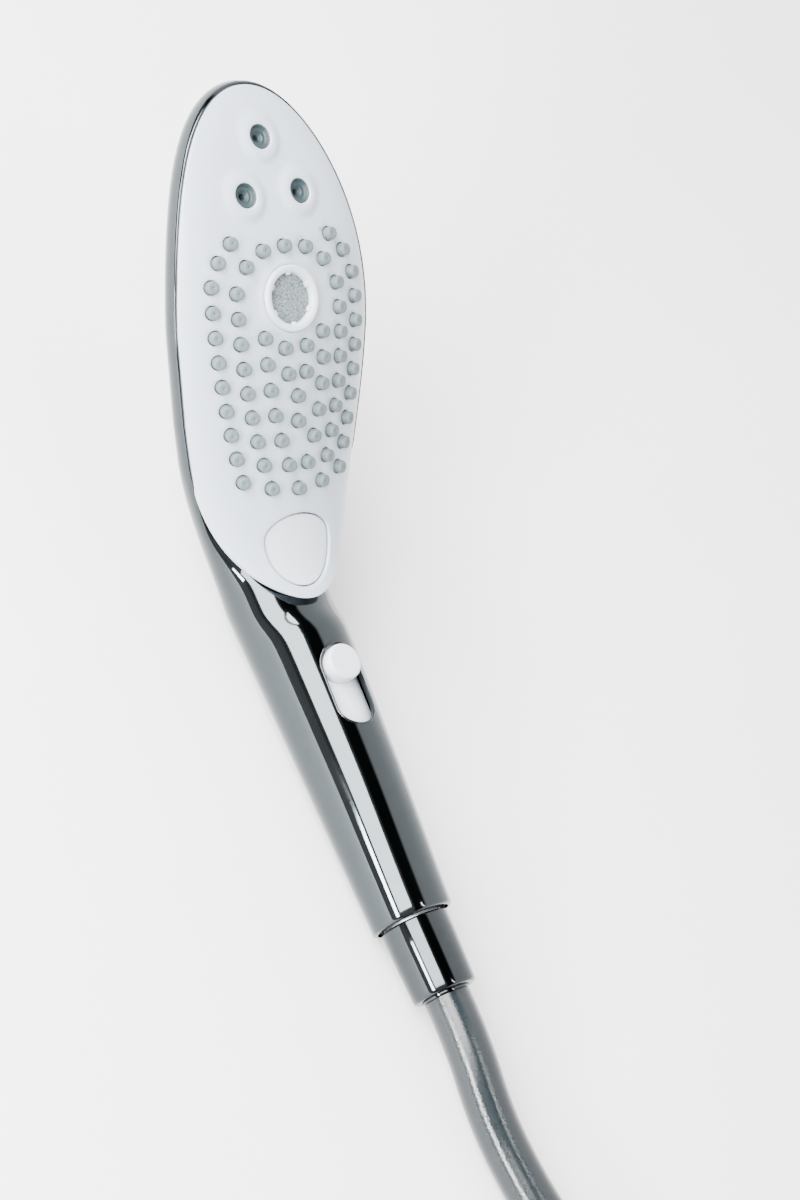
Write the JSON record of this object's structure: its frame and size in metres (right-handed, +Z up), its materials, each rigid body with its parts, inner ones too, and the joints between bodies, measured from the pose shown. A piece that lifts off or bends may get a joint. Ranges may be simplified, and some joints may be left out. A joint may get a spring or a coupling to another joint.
{
  "type": "handheld shower head",
  "caption": "Handheld shower head with a pear-shaped spray plate, soft nozzles, jets, a mode button, a flow slider and a coiled metal hose.",
  "frame": {"origin": "on the ground under the middle of the hand shower with its hose nut, which lies on the underside of its handle", "axes": "+Y along the handle towards the head, +Z up out of the spray face, +X to the right of the head seen from above the face"},
  "size_m": [0.2135, 0.605, 0.1109],
  "materials": {
    "casing": "bright, polished",
    "plate": "satin white",
    "nozzle": "soft grey silicone",
    "insert": "dark grey green",
    "white_trim": "satin white",
    "screen": "fine mesh, grey",
    "seal": "matt black",
    "inner": "natural",
    "inner_dark": "moulded",
    "screw": "plain",
    "brass": "machined",
    "nut": "bright, polished",
    "hose": "wound metal band",
    "tie": "matt"
  },
  "bodies": {
    "handset": {"casing": "casing", "face_plate": "plate", "nozzle_mat": "nozzle", "jet_inserts": "insert", "massage_ring": "white_trim", "screen_disc": "screen", "massage_seal": "seal", "distributor": "inner", "chamber_back": "inner_dark", "chamber_gasket": "seal", "chamber_screws": "screw", "button_housing": "inner", "button_seal": "seal", "button_spring": "screw", "feed_pipe": "inner", "slot_frame": "casing", "valve_body": "inner_dark", "valve_seal": "seal", "water_tube": "inner", "tube_o_rings": "seal", "inlet_nipple": "brass", "flow_limiter": "inner_dark", "inlet_filter": "screw", "hose_washer": "seal", "hose_tail": "brass", "hose": "hose", "hose_coil": "hose", "coil_tie": "tie", "hose_end": "hose", "far_ferrule": "nut", "far_tail": "brass", "far_washer": "seal"},
    "button": {"mode_button": "white_trim", "button_stem": "inner"},
    "slider": {"slider_knob": "white_trim", "slider_plate": "white_trim", "flow_gate": "inner"},
    "cam": {"index_cam": "inner_dark"},
    "swivel_nut": {"hose_nut": "nut"},
    "supply_nut": {"far_nut": "nut"}
  },
  "joints": [
    {"name": "mode_press", "type": "slide", "parent": "handset", "child": "button", "axis": [0, 0.4606, -0.8876], "range_m": [0, 0.0024], "stiffness_N_per_m": 500, "springref_m": -0.002, "deforming": ["button_spring"]},
    {"name": "cam_index", "type": "hinge", "parent": "handset", "child": "cam", "pos_m": [0, 0.01517, 0.02284], "axis": [0, 0.4606, -0.8876], "range_deg": [0, 60]},
    {"name": "flow_slide", "type": "slide", "parent": "handset", "child": "slider", "axis": [0, -0.9976, -0.0698], "range_m": [0, 0.014]},
    {"name": "nut_turn", "type": "hinge", "parent": "handset", "child": "swivel_nut", "pos_m": [0, -0.1351, 0.0143], "axis": [0, -1, 0], "continuous": true},
    {"name": "supply_nut_turn", "type": "hinge", "parent": "handset", "child": "supply_nut", "pos_m": [-0.1, -0.4305, 0.0285], "axis": [-1, 0, 0], "continuous": true}
  ],
  "couplings": [
    {"joint": "cam_index", "follows": "mode_press", "rad_per_m": 436.33}
  ]
}
